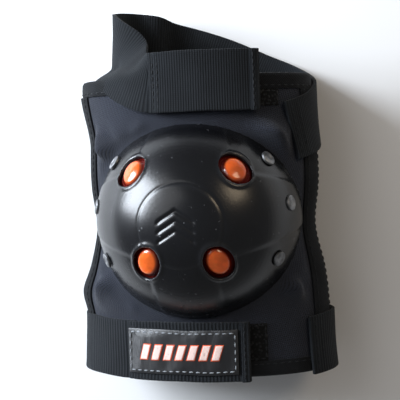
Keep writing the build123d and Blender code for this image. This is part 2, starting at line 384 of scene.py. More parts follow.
def stitches(name, lines, thread=0.34 * MM):
    """Rows of stitches. A line turns a share along itself into a point and the way out of the cloth."""
    sizes = bpy.context.scene.pad_sizes
    clear_selection()
    bpy.ops.mesh.primitive_uv_sphere_add(segments=6, ring_count=4, radius=1)
    pattern = bpy.context.object
    corners = [vertex.co.copy() for vertex in pattern.data.vertices]
    faces = [tuple(face.vertices) for face in pattern.data.polygons]
    bpy.ops.object.delete()
    points, polygons = [], []
    for line in lines:
        total = running([line(step / 64)[0] for step in range(65)])[-1]
        count = max(1, int(total / (sizes.stitch + sizes.stitch_gap)))
        for number in range(count):
            share = (number + 0.5) / count
            middle, out = line(share)
            ahead = line(min(1, share + 0.5 / count))[0] - line(max(0, share - 0.5 / count))[0]
            ahead.normalize()
            out = (out - ahead * out.dot(ahead)).normalized()
            aside = out.cross(ahead)
            start = len(points)
            for corner in corners:
                points.append(
                    middle + ahead * corner.z * sizes.stitch / 2
                    + aside * corner.x * thread + out * corner.y * thread * 0.8
                )
            polygons.extend(tuple(index + start for index in face) for face in faces)
    mesh = bpy.data.meshes.new(name)
    mesh.from_pydata(points, [], polygons)
    piece = bpy.data.objects.new(name, mesh)
    bpy.context.collection.objects.link(piece)
    mend(piece)
    shade(piece, 80)
    return piece


def on_band(band, along, across, lift=SEWN_LIFT):
    """A stitch line on a strip, between two pairs of shares."""

    def line(share):
        first = along[0] + (along[1] - along[0]) * share
        second = across[0] + (across[1] - across[0]) * share
        point = band.place(first, second, lift)
        return point, point - band.place(first, second, lift - MM)

    return line


def on_sleeve(angles, ys, out):
    """A stitch line on the sleeve, between two angles and two stations."""

    def line(share):
        angle = angles[0] + (angles[1] - angles[0]) * share
        y = ys[0] + (ys[1] - ys[0]) * share
        point = cloth_section(angle, y, out)
        return point, point - cloth_section(angle, y, out - MM)

    return line


def border(band, inset, lift=SEWN_LIFT, closed=True):
    """Stitch lines round a strip, or round all but its first end."""
    side, edge = inset / band.length, inset / band.width
    rows = [on_band(band, (side, 1 - side), (row, row), lift) for row in (edge, 1 - edge)]
    ends = (side, 1 - side) if closed else (1 - side,)
    return rows + [on_band(band, (end, end), (edge, 1 - edge), lift) for end in ends]


# Materials.


class Wire:
    """A value in a material. Arithmetic on it adds Math nodes."""

    def __init__(self, finish, socket):
        self.finish, self.socket = finish, socket

    def _math(self, operation, *values):
        inputs = dict(enumerate(values))
        return self.finish.node("ShaderNodeMath", {"operation": operation}, inputs)

    def __add__(self, other):
        return self._math("ADD", self, other)

    def __sub__(self, other):
        return self._math("SUBTRACT", self, other)

    def __rsub__(self, other):
        return self._math("SUBTRACT", other, self)

    def __mul__(self, other):
        return self._math("MULTIPLY", self, other)

    __radd__ = __add__
    __rmul__ = __mul__

    def sine(self):
        return self._math("SINE", self)

    def magnitude(self):
        return self._math("ABSOLUTE", self)

    def most(self, other):
        return self._math("MAXIMUM", self, other)

    def step(self, low, high):
        """0 below low, 1 above high, smooth between."""
        return self.finish.node(
            "ShaderNodeMapRange", {"interpolation_type": "SMOOTHSTEP"},
            {"Value": self, "From Min": low, "From Max": high},
        )


class Finish:
    """A material under construction."""

    def __init__(self, name, **fixed):
        self.material = bpy.data.materials.new(name)
        self.material.use_nodes = True
        self.tree = self.material.node_tree
        self.shader = self.tree.nodes["Principled BSDF"]
        for key, value in fixed.items():
            self.shader.inputs[key.replace("_", " ").title().replace("Ior", "IOR")].default_value = value

    def node(self, kind, settings=None, inputs=None, output=0):
        """Adds a node and gives one of its outputs."""
        made = self.tree.nodes.new(kind)
        for key, value in (settings or {}).items():
            setattr(made, key, value)
        for key, value in (inputs or {}).items():
            if isinstance(value, Wire):
                self.tree.links.new(value.socket, made.inputs[key])
            elif isinstance(value, (tuple, list)) and made.inputs[key].type == "RGBA":
                made.inputs[key].default_value = (*value[:3], 1)
            else:
                made.inputs[key].default_value = value
        return Wire(self, made.outputs[output])

    def place(self, source="Object"):
        """Coordinates, as a vector."""
        return self.node("ShaderNodeTexCoord", output=source)

    def parts(self, vector):
        """The x, y and z of a vector."""
        split = self.node("ShaderNodeSeparateXYZ", inputs={0: vector})
        outputs = split.socket.node.outputs
        return [Wire(self, outputs[index]) for index in range(3)]

    def grain(self, vector, scale, detail=3.0, rough=0.5, stretch=None):
        """Noise from 0 to 1. scale counts features in a metre."""
        if stretch:
            vector = self.node("ShaderNodeMapping", inputs={"Vector": vector, "Scale": stretch})
        return self.node(
            "ShaderNodeTexNoise",
            inputs={"Vector": vector, "Scale": scale, "Detail": detail, "Roughness": rough},
        )

    def attribute(self, name):
        return self.node("ShaderNodeAttribute", {"attribute_name": name}, output="Fac")

    def mix(self, factor, first, second):
        """A blend of two colours."""
        return self.node(
            "ShaderNodeMix", {"data_type": "RGBA"}, {0: factor, 6: first, 7: second}, output=2
        )

    def done(self, colour, rough, height=None, depth=0.0):
        """Links the colour, the roughness and the bump, and gives the material."""
        links = [(colour, "Base Color"), (rough, "Roughness")]
        if height:
            bump = self.node("ShaderNodeBump", inputs={"Height": height, "Distance": depth, "Strength": 1.0})
            links.append((bump, "Normal"))
        for wire, name in links:
            self.tree.links.new(wire.socket, self.shader.inputs[name])
        return self.material


def scaled(colour, factor):
    return tuple(min(1.0, part * factor) for part in colour)


def shell_plastic():
    """Satin moulded plastic, with fine grain, scuffs and paler worn edges."""
    base = bpy.context.scene.pad_colours.shell
    finish = Finish("satin_shell", specular_ior_level=0.5)
    place = finish.place()
    cloudy = finish.grain(place, 26, 4)
    fine = finish.grain(place, 900, 2)
    long_marks = finish.grain(place, 60, 6, 0.7, stretch=(14, 1.2, 4))
    cross_marks = finish.grain(place, 55, 6, 0.7, stretch=(1.5, 16, 5))
    scuffs = long_marks.step(0.66, 0.74).most(cross_marks.step(0.67, 0.75)) * cloudy.step(0.42, 0.62)
    specks = finish.grain(place, 520, 1).step(0.74, 0.80)
    wear = finish.attribute("wear")
    colour = finish.mix(cloudy.step(0.3, 0.7), scaled(base, 0.75), scaled(base, 1.5))
    colour = finish.mix(scuffs * 0.7, colour, (0.035, 0.037, 0.042))
    colour = finish.mix(wear * 0.30, colour, (0.045, 0.048, 0.054))
    colour = finish.mix(specks * 0.7, colour, (0.08, 0.083, 0.09))
    rough = 0.21 + cloudy * 0.10 + scuffs * 0.16 + specks * 0.2
    return finish.done(colour, rough, fine * 0.4 + cloudy * 0.4 - scuffs * 0.5, 0.05 * MM)


def gel():
    """Soft translucent gel: bright in the middle, with painted shade in deep red where it meets the cap."""
    base = bpy.context.scene.pad_colours.gel
    finish = Finish(
        "orange_gel", subsurface_weight=0.25, subsurface_scale=2 * MM, coat_weight=0.6,
        coat_roughness=0.08, ior=1.45,
    )
    place = finish.place()
    cloudy = finish.grain(place, 180, 3)
    rim = finish.attribute("rim")
    colour = finish.mix(cloudy.step(0.3, 0.7), scaled(base, 0.85), scaled(base, 1.2))
    # Painted shade: the gel darkens to deep red towards its rim, where the cap's hole wall shades it.
    colour = finish.mix(rim.step(0.66, 0.98), colour, (0.11, 0.006, 0.004))
    return finish.done(colour, 0.16 + cloudy * 0.16, finish.grain(place, 420, 2), 0.06 * MM)


def rivet_metal():
    """Dull stamped metal with patchy tone."""
    finish = Finish("rivet_metal", metallic=0.95)
    place = finish.place()
    cloudy = finish.grain(place, 240, 4)
    fine = finish.grain(place, 1600, 3, stretch=(1, 5, 1))
    colour = finish.mix(cloudy.step(0.35, 0.65), (0.12, 0.123, 0.128), (0.28, 0.285, 0.295))
    return finish.done(colour, 0.32 + cloudy * 0.22 + fine * 0.1, fine, 0.03 * MM)


def woven(name, base, pitch, depth=0.30 * MM, sheen=0.14, tint=(0.062, 0.070, 0.096)):
    """Open woven cloth: rows of small dark holes between paler threads."""
    finish = Finish(name, sheen_weight=sheen, sheen_roughness=0.45, specular_ior_level=0.12)
    along, across, _ = finish.parts(finish.place("UV"))
    place = finish.place()
    turn = 2 * math.pi / pitch
    first = (along * turn + (across * turn * 0.5)).sine()
    second = (across * turn - (along * turn * 0.5)).sine()
    holes = (first * second).step(0.15, 0.75)
    threads = (along * turn * 3.0).sine() * (across * turn * 3.0).sine() * 0.5 + 0.5
    cloudy = finish.grain(place, 40, 4)
    fuzz = finish.grain(place, 1500, 3)
    lint = finish.grain(place, 700, 2).step(0.70, 0.78)
    colour = finish.mix(cloudy.step(0.3, 0.7), scaled(base, 0.8), scaled(base, 1.5))
    colour = finish.mix(threads * (0.3 + fuzz * 0.7), colour, tint)
    colour = finish.mix(holes * 0.95, colour, scaled(base, 0.12))
    colour = finish.mix(lint * 0.22, colour, (0.14, 0.15, 0.18))
    return finish.done(colour, 0.78 + fuzz * 0.2, (1 - holes) * 0.8 + threads * 0.25 + fuzz * 0.3, depth)


def elastic(name, pitch, depth):
    """Elastic webbing: ribs across the strap, each rib a row of small knitted stitches."""
    base = bpy.context.scene.pad_colours.elastic
    finish = Finish(name, sheen_weight=0.05, sheen_roughness=0.5, specular_ior_level=0.12)
    along, across, _ = finish.parts(finish.place("UV"))
    place = finish.place()
    wobble = finish.grain(place, 90, 2) * 1.4
    ribs = (along * (2 * math.pi / pitch) + wobble).sine() * 0.5 + 0.5
    knit = (across * (2 * math.pi / (0.9 * MM)) + ribs * 2.2).sine() * 0.5 + 0.5
    cloudy = finish.grain(place, 55, 4)
    fuzz = finish.grain(place, 1700, 3)
    colour = finish.mix(cloudy.step(0.3, 0.7), scaled(base, 0.85), scaled(base, 1.3))
    colour = finish.mix(ribs * (0.25 + knit * 0.5), colour, scaled(base, 2.4))
    colour = finish.mix(fuzz.step(0.6, 0.8) * 0.3, colour, (0.045, 0.050, 0.055))
    return finish.done(colour, 0.80 + fuzz * 0.15, ribs * 0.7 + knit * ribs * 0.5 + fuzz * 0.4, depth)


def tape():
    """Narrow twill tape for hems and seams."""
    finish = Finish("twill_tape", sheen_weight=0.04, sheen_roughness=0.5, specular_ior_level=0.12)
    along, across, _ = finish.parts(finish.place("UV"))
    place = finish.place()
    turn = 2 * math.pi / (1.1 * MM)
    twill = (along * turn + across * turn).sine() * 0.5 + 0.5
    fuzz = finish.grain(place, 1400, 3)
    cloudy = finish.grain(place, 60, 3)
    colour = finish.mix(twill * 0.6, (0.0045, 0.005, 0.006), (0.014, 0.0155, 0.018))
    colour = finish.mix(cloudy.step(0.45, 0.7) * 0.3, colour, (0.022, 0.024, 0.027))
    return finish.done(colour, 0.75 + fuzz * 0.2, twill * 0.7 + fuzz * 0.4, 0.22 * MM)


def pile(name, stiff):
    """Hook or loop tape: a field of small tufts."""
    finish = Finish(name, sheen_weight=0.03 if stiff else 0.10, specular_ior_level=0.15)
    place = finish.place()
    cells = finish.node(
        "ShaderNodeTexVoronoi", {"feature": "F1"},
        {"Vector": place, "Scale": 900.0 if stiff else 620.0, "Randomness": 0.25 if stiff else 1.0},
        output="Distance",
    )
    tufts = 1 - cells.step(0.15, 0.55)
    fuzz = finish.grain(place, 1300, 4, 0.7)
    colour = finish.mix(tufts * fuzz, (0.0035, 0.0037, 0.004), (0.026, 0.0275, 0.030))
    return finish.done(colour, (0.45 if stiff else 0.85) + fuzz * 0.12, tufts + fuzz * 0.6, 0.45 * MM)


def lining_cloth():
    """Brushed knit over foam, with sewn channels."""
    finish = Finish("brushed_lining", sheen_weight=0.15, sheen_roughness=0.4, specular_ior_level=0.12)
    along, across, _ = finish.parts(finish.place("UV"))
    place = finish.place()
    turn = 2 * math.pi / (1.3 * MM)
    columns = (along * turn).sine()
    rows = (across * turn * 1.4 + (along * turn).magnitude()).sine()
    knit = (columns + rows) * 0.25 + 0.5
    fuzz = finish.grain(place, 1100, 4, 0.65)
    cloudy = finish.grain(place, 45, 4)
    colour = finish.mix(cloudy.step(0.3, 0.7), (0.008, 0.0085, 0.0095), (0.015, 0.016, 0.018))
    colour = finish.mix(knit * fuzz * 0.6, colour, (0.034, 0.035, 0.039))
    return finish.done(colour, 0.86 + fuzz * 0.1, knit * 0.6 + fuzz * 0.6, 0.30 * MM)


def label_satin():
    """Dark satin label with a faint weave and soft creases."""
    finish = Finish("label_satin", specular_ior_level=0.8, sheen_weight=0.05)
    along, across, _ = finish.parts(finish.place("UV"))
    place = finish.place()
    turn = 2 * math.pi / (0.55 * MM)
    weave = (along * turn).sine() * (across * turn).sine() * 0.5 + 0.5
    creases = finish.grain(place, 75, 3, stretch=(1, 0.35, 1))
    colour = finish.mix(weave * 0.5, (0.007, 0.0075, 0.009), (0.016, 0.0165, 0.020))
    return finish.done(colour, 0.24 + creases * 0.16, creases * 1.0 + weave * 0.06, 1.1 * MM)


def label_print(name, colour):
    """Woven print: threads of one colour with small gaps."""
    finish = Finish(name, specular_ior_level=0.4)
    place = finish.place()
    worn = finish.grain(place, 700, 3)
    weave = finish.grain(place, 2400, 1)
    mixed = finish.mix(worn.step(0.55, 0.8) * 0.6, colour, scaled(colour, 0.45))
    return finish.done(mixed, 0.5 + weave * 0.2, weave + worn, 0.08 * MM)


def thread(name="sewing_thread", colour=(0.014, 0.0155, 0.018)):
    """Twisted thread."""
    finish = Finish(name, sheen_weight=0.05, specular_ior_level=0.2)
    place = finish.place()
    twist = finish.grain(place, 2500, 2)
    mixed = finish.mix(twist, scaled(colour, 0.6), scaled(colour, 1.3))
    return finish.done(mixed, 0.6 + twist * 0.2, twist, 0.08 * MM)


FINISHES = {}


def dress(piece, make, *words):
    """Gives a piece a material, made once."""
    key = (make.__name__, *words)
    if key not in FINISHES:
        FINISHES[key] = make(*words)
    piece.data.materials.clear()
    piece.data.materials.append(FINISHES[key])
    return piece


def front_weave():
    scene = bpy.context.scene
    return woven("open_weave", scene.pad_colours.cloth, scene.pad_sizes.weave_pitch)


def back_mesh():
    base, tint_colour = (0.0070, 0.0075, 0.0090), (0.022, 0.024, 0.029)
    return woven("stretch_mesh", base, 2.1 * MM, 0.45 * MM, 0.05, tint_colour)


# Pieces.


def cap_copy(name, node, voxel):
    """A copy of a CAD node as an even mesh that can take relief."""
    clear_selection()
    source = frame["nodes"][node]
    piece = bpy.data.objects.new(name, source.data.copy())
    bpy.context.collection.objects.link(piece)
    mend(piece, merge=1e-6, outwards=False)
    modify(piece, "REMESH", mode="VOXEL", voxel_size=voxel, use_smooth_shade=True)
    modify(piece, "SMOOTH", factor=0.5, iterations=2)
    return piece


def cap_spread(point):
    """A point of the cap, flattened: the distance from the cap's top keeps its length along the face."""
    away = point - CAP_CENTRE
    level = math.hypot(away.x, away.y)
    if level < 1e-9:
        return Vector((0.0, 0.0))
    run = CAP_RADIUS * math.atan2(level, away.z)
    return Vector((away.x, away.y)) * (run / level)


# Each insert's half length, half width and turn, and the heading and half angle of the cap's corner round it.
INSERTS = {
    "gel_insert_upper_left": (8.6 * MM, 7.4 * MM, 65, 134, 50),
    "gel_insert_upper_right": (8.6 * MM, 7.4 * MM, 115, 46, 50),
    "gel_insert_lower_left": (8.8 * MM, 7.0 * MM, 65, 218, 48),
    "gel_insert_lower_right": (8.8 * MM, 7.0 * MM, 115, 322, 48),
}


def insert_middle(node):
    """The middle of an insert on the flattened cap."""
    points = node_points(node)
    return cap_spread(sum(points, Vector()) / len(points))


def turned(vector, degrees):
    return Matrix.Rotation(math.radians(degrees), 2) @ vector


def motif_depth(spot):
    """A ring round three nested chevrons, pressed into the middle of the cap."""
    centre = spot - Vector((-1.5 * MM, 1.5 * MM))
    deepest = 0.0
    for number in range(3):
        drop = centre.y + abs(centre.x) * 0.62 - (6.2 - 4.6 * number) * MM
        inside = ease(-10.0 * MM, -8.0 * MM, -abs(centre.x))
        deepest = max(deepest, inside * bell(drop, 0.0, (0.45 + 0.45 * inside) * MM))
    return deepest


def cap_relief(spot, sizes, holes):
    """How far the cap's face stands out from its plain form at a flattened place, and how worn it is."""
    rise = 0.0
    crease = 0.0
    for middle, long, short, turn, compass, half_angle in holes:
        away = spot - middle
        heading = math.radians(compass)
        outwards = Vector((math.cos(heading), math.sin(heading)))
        along = away.dot(outwards) + 4 * MM
        aside = abs(outwards.x * away.y - outwards.y * away.x)
        opening = math.radians(half_angle)
        depth = along * math.sin(opening) - aside * math.cos(opening)
        rise -= sizes.relief * ease(0, 3.4 * MM, depth)
        crease = max(crease, 0.5 * bell(depth, 0.2 * MM, 0.8 * MM) * ease(0, 6 * MM, along))
        local = turned(away, -turn)
        edge = (math.hypot(local.x / long, local.y / short) - 1) * (long + short) / 2
        rise += 0.55 * MM * bell(edge, 1.0 * MM, 1.1 * MM)
        crease = max(crease, bell(edge, 0.7 * MM, 0.7 * MM))
    ring = spot.length - 20.5 * MM
    rise += 0.12 * MM * (1 - ease(-1.2 * MM, 0.8 * MM, ring))
    rise -= 0.20 * MM * bell(ring, 0.6 * MM, 0.7 * MM)
    rise -= 0.75 * MM * motif_depth(spot)
    crease = max(crease, 0.35 * bell(ring, -0.6 * MM, 0.8 * MM))
    return rise, crease


class PieceOperator:
    bl_options = {"REGISTER", "UNDO"}


class PAD_OT_cap(PieceOperator, bpy.types.Operator):
    """Build the hard cap with its raised cross, hole lips and pressed motif"""

    bl_idname = "pad.cap"
    bl_label = "Hard Cap"

    def execute(self, context):
        sizes = context.scene.pad_sizes
        cap = cap_copy("hard_cap", "shell_cap", 0.62 * MM)
        holes = [(insert_middle(node), *facts) for node, facts in INSERTS.items()]
        wall = 2.4 * MM
        worn = []
        for vertex in cap.data.vertices:
            away = vertex.co - CAP_CENTRE
            rise, crease = cap_relief(cap_spread(vertex.co), sizes, holes)
            outer = ease(CAP_RADIUS - wall, CAP_RADIUS - 0.3 * MM, away.length)
            clearance = vertex.co - section(angle_at(vertex.co.x, vertex.co.y, 0), vertex.co.y)
            lip = ease(0, 3.5 * MM, clearance.length)
            vertex.co += away.normalized() * (rise * outer * (0.3 + 0.7 * lip))
            worn.append(crease * outer)
        marks = cap.data.attributes.new("wear", "FLOAT", "POINT")
        marks.data.foreach_set("value", worn)
        shade(cap, 60)
        dress(cap, shell_plastic)
        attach(cap, "pad")
        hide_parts("shell_cap")
        return {"FINISHED"}


class PAD_OT_inserts(PieceOperator, bpy.types.Operator):
    """Build the four crowned gel inserts"""

    bl_idname = "pad.inserts"
    bl_label = "Gel Inserts"

    def execute(self, context):
        sizes = context.scene.pad_sizes
        for node, (long, short, turn, _, _) in INSERTS.items():
            piece = cap_copy(node.replace("gel_insert", "gel"), node, 0.4 * MM)
            middle = insert_middle(node)
            rims = []
            for vertex in piece.data.vertices:
                away = vertex.co - CAP_CENTRE
                local = turned(cap_spread(vertex.co) - middle, -turn)
                edge = math.hypot(local.x / (long - 0.9 * MM), local.y / (short - 0.9 * MM))
                face = ease(CAP_RADIUS - 2.2 * MM, CAP_RADIUS - 0.9 * MM, away.length)
                crown = sizes.crown * (1 - edge**2) - 0.9 * MM * ease(0.72, 1.02, edge)
                vertex.co += away.normalized() * crown * face
                # rim tells how near a point is to the gel's edge, for the painted shade there.
                rims.append(min(edge, 1.2) if face > 0.2 else 1.2)
            marks = piece.data.attributes.new("rim", "FLOAT", "POINT")
            marks.data.foreach_set("value", rims)
            modify(piece, "SMOOTH", factor=0.5, iterations=3)
            shade(piece, 80)
            dress(piece, gel)
            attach(piece, "pad")
            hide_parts(node)
        return {"FINISHED"}


def islands(name):
    """The separate solids of a CAD node, each as its list of corners."""
    mesh = frame["nodes"][name].data
    keys = [tuple(round(part * 1e6) for part in vertex.co) for vertex in mesh.vertices]
    parent = {key: key for key in keys}

    def root(key):
        while parent[key] != key:
            parent[key] = parent[parent[key]]
            key = parent[key]
        return key

    for edge in mesh.edges:
        parent[root(keys[edge.vertices[0]])] = root(keys[edge.vertices[1]])
    groups = {}
    for key, vertex in zip(keys, mesh.vertices):
        groups.setdefault(root(key), []).append(vertex.co.copy())
    return list(groups.values())


class PAD_OT_rivets(PieceOperator, bpy.types.Operator):
    """Build the six domed rivets, and finish the washers behind them"""

    bl_idname = "pad.rivets"
    bl_label = "Rivets"

    def execute(self, context):
        radius, height, shank = 3.7 * MM, 1.2 * MM, 3.0 * MM
        heads = []
        for corners in islands("shell_rivets"):
            way = (sum(corners, Vector()) / len(corners) - CAP_CENTRE).normalized()
            top = max((corner - CAP_CENTRE).dot(way) for corner in corners)
            clear_selection()
            bpy.ops.mesh.primitive_cylinder_add(vertices=40, radius=radius, depth=height)
            head = named("rivet_head")
            bpy.ops.object.mode_set(mode="EDIT")
            bpy.ops.mesh.select_mode(type="FACE")
            # The rim, the dome and the dimple.
            for narrow, rise in ((0.7 * MM, 0.35 * MM), (1.2 * MM, 0.2 * MM), (0.45 * MM, -0.35 * MM)):
                bpy.ops.mesh.select_all(action="DESELECT")
                bpy.ops.object.mode_set(mode="OBJECT")
                highest = max(face.center.z for face in head.data.polygons)
                for face in head.data.polygons:
                    face.select = face.center.z > highest - 1e-7 and face.normal.z > 0.9
                bpy.ops.object.mode_set(mode="EDIT")
                bpy.ops.mesh.inset(thickness=narrow)
                bpy.ops.transform.translate(value=(0, 0, rise))
            bpy.ops.mesh.select_all(action="DESELECT")
            bpy.ops.object.mode_set(mode="OBJECT")
            for face in head.data.polygons:
                face.select = face.normal.z < -0.9
            bpy.ops.object.mode_set(mode="EDIT")
            bpy.ops.mesh.inset(thickness=radius - 1.4 * MM)
            bpy.ops.mesh.extrude_region_move(TRANSFORM_OT_translate={"value": (0, 0, -shank)})
            bpy.ops.object.mode_set(mode="OBJECT")
            bevel(head, 0.22 * MM, 3, 25)
            turn = way.to_track_quat("Z", "Y").to_matrix().to_4x4()
            spot = CAP_CENTRE + way * (top - height / 2 - 0.1 * MM)
            head.data.transform(Matrix.Translation(spot) @ turn)
            shade(head, 35)
            heads.append(head)
        rivets = joined("rivets", heads)
        dress(rivets, rivet_metal)
        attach(rivets, "pad")
        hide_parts("shell_rivets")
        dress(frame["nodes"]["rivet_washers"], rivet_metal)
        return {"FINISHED"}


# Folds of the front cloth: height in mm, angle, lean and the share it turns about, width, and the middle
# and the spread along the sleeve, as shares of its length.
FOLDS = [
    (7.0, 56, -40, 0.76, 8.0, 0.76, 0.12),
    (4.0, 66, 100, 0.60, 4.5, 0.60, 0.13),
    (4.5, -58, -90, 0.70, 5, 0.74, 0.12),
    (2.6, -38, -30, 0.80, 5, 0.82, 0.06),
    (4.0, -64, 100, 0.30, 5, 0.33, 0.10),
    (2.6, -48, 60, 0.20, 3.5, 0.27, 0.06),
    (3.8, 62, -100, 0.30, 5, 0.33, 0.11),
]


def fold_lift(angle, y):
    """How far the front cloth stands off in loose folds."""
    low = (y - LOWER_END) / (UPPER_END - LOWER_END)
    free = ease(0.18, 0.27, low) * (1 - ease(0.80, 0.885, low)) * (1 - ease(64, 77, abs(angle)))
    height = 0.0
    for tall, heading, lean, pivot, width, middle, spread in FOLDS:
        height += tall * bell(angle, heading + lean * (low - pivot), width) * bell(low, middle, spread)
    broad = noise.noise(Vector((angle / 20, y / (16 * MM), 3.1)))
    fine = noise.noise(Vector((angle / 8 + y / (9 * MM), y / (22 * MM), 8.4)))
    height += 1.8 * broad + 1.0 * fine + 0.8
    clear = ease(0.5 * MM, 5.5 * MM, (cloth_section(angle, y) - CAP_CENTRE).length - CAP_RADIUS)
    return 1.2 * max(0.0, height) * free * clear * MM


class PAD_OT_front(PieceOperator, bpy.types.Operator):
    """Build the front cloth with its loose folds"""

    bl_idname = "pad.front"
    bl_label = "Front Cloth"

    def execute(self, context):
        cup = CAP_RADIUS - 5.0 * MM

        def place(along, across):
            angle = -90 + 180 * along
            y = LOWER_END + (UPPER_END - LOWER_END) * across
            return cloth_section(angle, y, fold_lift(angle, y), cup)

        front = cloth("front_cloth", 170, 124, place)
        thicken(front, 1.4 * MM, 0.3 * MM)
        dress(front, front_weave)
        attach(front, "pad")
        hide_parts("front_panel")
        return {"FINISHED"}


class PAD_OT_padding(PieceOperator, bpy.types.Operator):
    """Build the foam cup in its quilted lining"""

    bl_idname = "pad.padding"
    bl_label = "Foam and Lining"

    def execute(self, context):
        low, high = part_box("foam_cup")
        cup = CAP_RADIUS - 6.8 * MM
        thickness = 7.0 * MM

        def place(along, across):
            angle = -85 + 170 * along
            y = low.y + (high.y - low.y) * across
            return cloth_section(angle, y, -1.7 * MM, cup)

        padding = cloth("foam_padding", 130, 100, place)
        group = padding.vertex_groups.new(name="fullness")
        for vertex in padding.data.vertices:
            y = vertex.co.y
            angle = math.degrees(math.atan2(vertex.co.x, vertex.co.z - SEAM))
            edge = min(y - low.y, high.y - y, (85 - abs(angle)) * MM)
            full = 0.3 + 0.7 * math.sqrt(ease(-2 * MM, 12 * MM, edge))
            off = math.hypot(vertex.co.x, y - CAP_Y)
            channel = 0.45 * bell(off, 40 * MM, 2.2 * MM)
            for line in (-46, -23, 0, 23, 46):
                row = 0.4 * bell(y, CAP_Y + line * MM, 1.6 * MM) * ease(36 * MM, 43 * MM, off)
                channel = max(channel, row)
            group.add([vertex.index], max(0.1, full - channel), "REPLACE")
        modify(padding, "SOLIDIFY", thickness=thickness, offset=-1, vertex_group="fullness")
        bevel(padding, 1.2 * MM, 3, 55)
        shade(padding, 80)
        dress(padding, lining_cloth)
        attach(padding, "pad")
        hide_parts("foam_cup", "lining")
        return {"FINISHED"}


class PAD_OT_back(PieceOperator, bpy.types.Operator):
    """Build the stretch mesh behind the arm"""

    bl_idname = "pad.back"
    bl_label = "Back Mesh"

    def execute(self, context):
        def place(along, across):
            angle = 90.2 + 179.6 * along
            y = LOWER_END + (UPPER_END - LOWER_END) * across
            middle = 1 - abs(2 * across - 1)
            ripple = noise.noise(Vector((angle / 22, y / (17 * MM), 7.7))) * ease(0.1, 0.4, middle)
            return cloth_section(angle, y, 0.5 * MM * min(0.0, ripple - 0.1))

        back = cloth("back_mesh", 130, 100, place)
        ways = [Wrap(LOWER_END + (UPPER_END - LOWER_END) * step / 8, 0.0) for step in range(9)]
        girth = sum(wrap.length(270) - wrap.length(90) for wrap in ways) / len(ways)
        slack = 0.98
        size = (girth * slack, (UPPER_END - LOWER_END) * slack)
        thicken(back, 1.1 * MM, 0.25 * MM)
        dress(back, back_mesh)
        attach(back, "pad")
        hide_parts("back_panel")
        return {"FINISHED"}


def hem_piece(name, end, inward):
    """Twill tape folded round one end of the sleeve."""
    depth = 7.0 * MM
    lip = 0.9 * MM
    profile = [(1.0, depth), (1.05, 3.5 * MM), (0.95, 0.6 * MM), (0.2, -lip * 0.7), (-0.8, -lip),
               (-1.8, -lip * 0.7), (-2.5, 0.6 * MM), (-2.6, 3.5 * MM), (-2.55, depth)]

    def place(along, across):
        angle = -180 + 360 * (along if inward > 0 else 1 - along)
        spot = across * (len(profile) - 1)
        index = min(int(spot), len(profile) - 2)
        share = spot - index
        out = profile[index][0] + (profile[index + 1][0] - profile[index][0]) * share
        run = profile[index][1] + (profile[index + 1][1] - profile[index][1]) * share
        pucker = 0.12 * math.sin(angle * 2.9) * bell(run, depth * 0.8, 2 * MM)
        return cloth_section(angle, end + inward * run, (out + pucker) * MM)

    tape_piece = cloth(name, 220, 16, place)
    mend(tape_piece, merge=1e-5)
    return thicken(tape_piece, 0.7 * MM, 0.2 * MM)


class PAD_OT_hems(PieceOperator, bpy.types.Operator):
    """Bind both ends of the sleeve in tape"""

    bl_idname = "pad.hems"
    bl_label = "Hems"

    def execute(self, context):
        for node, end, inward in (("upper_hem", UPPER_END, -1), ("lower_hem", LOWER_END, 1)):
            hem = hem_piece(node + "_tape", end, inward)
            dress(hem, tape)
            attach(hem, "pad")
            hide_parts(node)
            row = end + inward * 5.4 * MM
            sewing = stitches(node + "_stitches", [on_sleeve((-180, 180), (row, row), 1.1 * MM)])
            dress(sewing, thread)
            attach(sewing, "pad")
        return {"FINISHED"}


class PAD_OT_bindings(PieceOperator, bpy.types.Operator):
    """Bind the side seams in tape"""

    bl_idname = "pad.bindings"
    bl_label = "Side Bindings"

    def execute(self, context):
        for node, side in (("left_side_binding", -1), ("right_side_binding", 1)):
            low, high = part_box(node)

            def place(along, across):
                angle = side * 83 + (along - 0.5) * 15
                y = low.y + (high.y - low.y) * across
                crown = 1.1 * math.sin(math.pi * along)
                return cloth_section(angle, y, (1.0 + crown) * MM)

            piece = thicken(cloth(node + "_tape", 10, 90, place), 0.9 * MM, 0.3 * MM)
            dress(piece, tape)
            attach(piece, "pad")
            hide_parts(node)
            rows = [on_sleeve((side * 83 + off,) * 2, (low.y, high.y), 1.6 * MM) for off in (-5.6, 5.6)]
            sewing = dress(stitches(node + "_stitches", rows), thread)
            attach(sewing, "pad")
        return {"FINISHED"}


# Each strap's route before its tab: angles, and mm of rise above its tab's middle.
UPPER_ROUTE = [(66, -25), (80, -21.5), (92, -16.5), (106, -11), (122, -4.5), (142, 4), (180, 13.5),
               (223, 21), (252, 25), (270, 24), (288, 19), (303, 11.5), (317, 4.3), (329, 0.6)]
LOWER_ROUTE = [(70, 0), (90, 0.6), (140, 0), (220, 0)]


def strap_bands():
    """The routes of the two straps, from their sewn ends round to the seams of their tabs."""
    lap = 3.5 * MM
    upper_end = 360 + angle_at(UPPER_TAB_LOW.x + lap, UPPER_Y, STRAP_OUT)
    lower_end = 360 + angle_at(LOWER_TAB_LOW.x + lap, LOWER_Y, STRAP_OUT)
    upper = [(angle, UPPER_Y + rise * MM) for angle, rise in UPPER_ROUTE] + [(upper_end, UPPER_Y)]
    lower = [(angle, LOWER_Y + rise * MM) for angle, rise in LOWER_ROUTE] + [(lower_end, LOWER_Y)]
    return {
        "upper": Band(upper, STRAP_OUT, STRAP_WIDTH),
        "lower": Band(lower, STRAP_OUT, STRAP_WIDTH),
    }


# Pitch and depth of each strap's ribs.
WEAVES = {"upper": (1.25 * MM, 0.16 * MM), "lower": (1.75 * MM, 0.24 * MM)}


